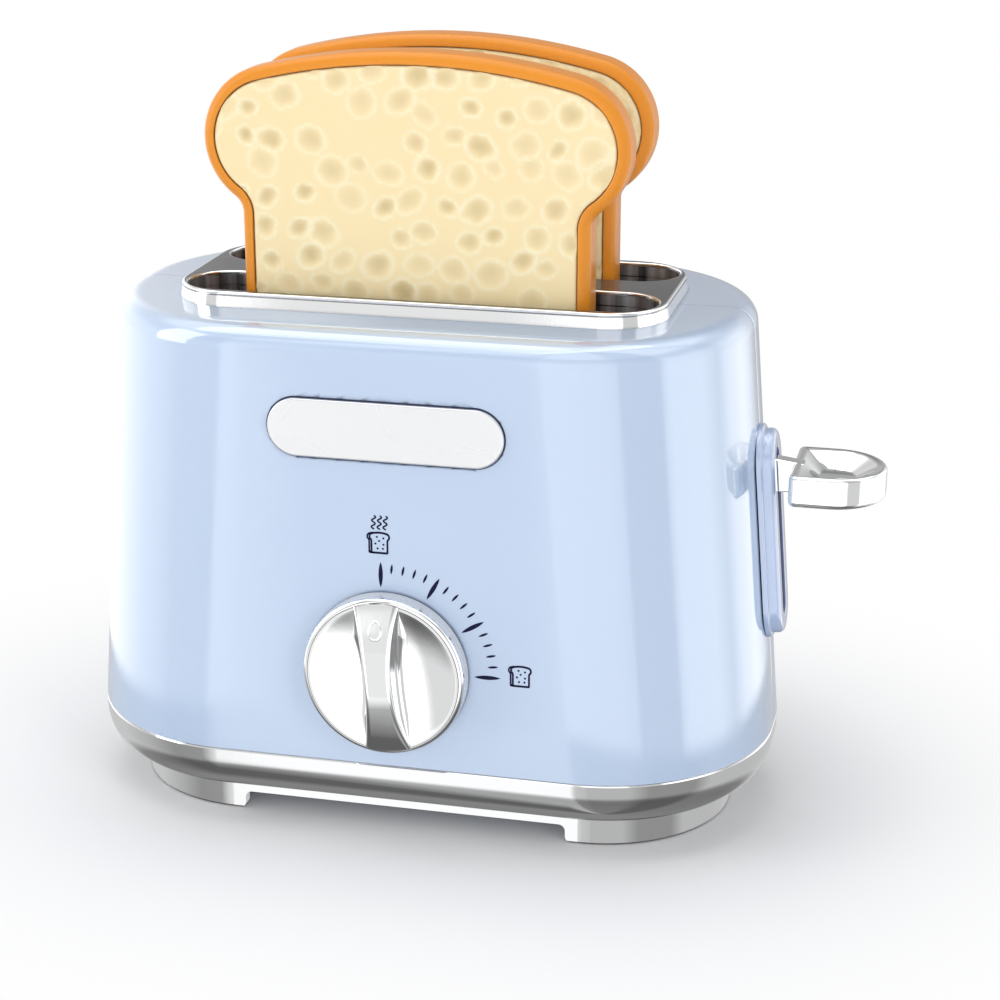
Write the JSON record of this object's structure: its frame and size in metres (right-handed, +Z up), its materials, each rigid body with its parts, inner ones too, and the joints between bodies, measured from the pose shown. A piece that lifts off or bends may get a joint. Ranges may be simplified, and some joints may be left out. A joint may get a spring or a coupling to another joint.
{
  "type": "toy toaster",
  "caption": "Play toaster with two lift-out bread slices, a push-down lever on the right side and a quarter-turn dial knob on the front.",
  "frame": {"origin": "on the table, under the middle of the whole toy's box", "axes": "+X towards the lever, -Y towards the dial at the front, +Z up"},
  "size_m": [0.153, 0.08, 0.1449],
  "materials": {
    "body_blue": "gloss",
    "chrome": "polished",
    "inner_plastic": "matt",
    "crust": "satin",
    "crumb": "matt",
    "steel": "satin"
  },
  "bodies": {
    "casing": {"front_shell": "body_blue", "rear_shell": "body_blue", "slot_bezel": "body_blue", "top_collar": "chrome", "front_plate": "chrome", "base_band": "chrome", "base_plinth": "chrome", "bottom_cover": "inner_plastic", "release_frame": "inner_plastic", "guide_rods": "steel", "lift_spring": "steel", "latch_pin": "steel", "latch_spring": "steel", "click_spring": "steel", "shell_screws": "steel", "base_screws": "steel", "frame_screws": "steel"},
    "dial": {"knob": "chrome", "knob_spindle": "inner_plastic", "spindle_screw": "steel", "click_wheel": "inner_plastic", "release_cam": "inner_plastic"},
    "latch": {"latch_hook": "inner_plastic"},
    "carriage": {"carriage_frame": "inner_plastic", "lever": "chrome", "lever_screw": "steel"},
    "front_slice": {"front_slice_crust": "crust", "front_slice_crumb_front": "crumb", "front_slice_crumb_back": "crumb"},
    "rear_slice": {"rear_slice_crust": "crust", "rear_slice_crumb_front": "crumb", "rear_slice_crumb_back": "crumb"}
  },
  "joints": [
    {"name": "carriage_slide", "type": "slide", "parent": "casing", "child": "carriage", "axis": [0, 0, 1], "range_m": [-0.021, 0], "stiffness_N_per_m": 60, "springref_m": 0.02, "deforming": ["lift_spring"]},
    {"name": "knob_turn", "type": "hinge", "parent": "casing", "child": "dial", "pos_m": [-0.0095, 0.004, 0.0356], "axis": [0, 1, 0], "range_deg": [0, 90]},
    {"name": "latch_swing", "type": "hinge", "parent": "casing", "child": "latch", "pos_m": [0.009, 0.004, 0.02], "axis": [0, 1, 0], "range_deg": [-9, 0]},
    {"name": "front_slice_lift", "type": "slide", "parent": "carriage", "child": "front_slice", "axis": [0, 0, 1], "range_m": [0, 0.032]},
    {"name": "rear_slice_lift", "type": "slide", "parent": "carriage", "child": "rear_slice", "axis": [0, 0, 1], "range_m": [0, 0.032]}
  ],
  "couplings": [
    {"joint": "latch_swing", "follows": "knob_turn", "ratio": -0.1}
  ]
}
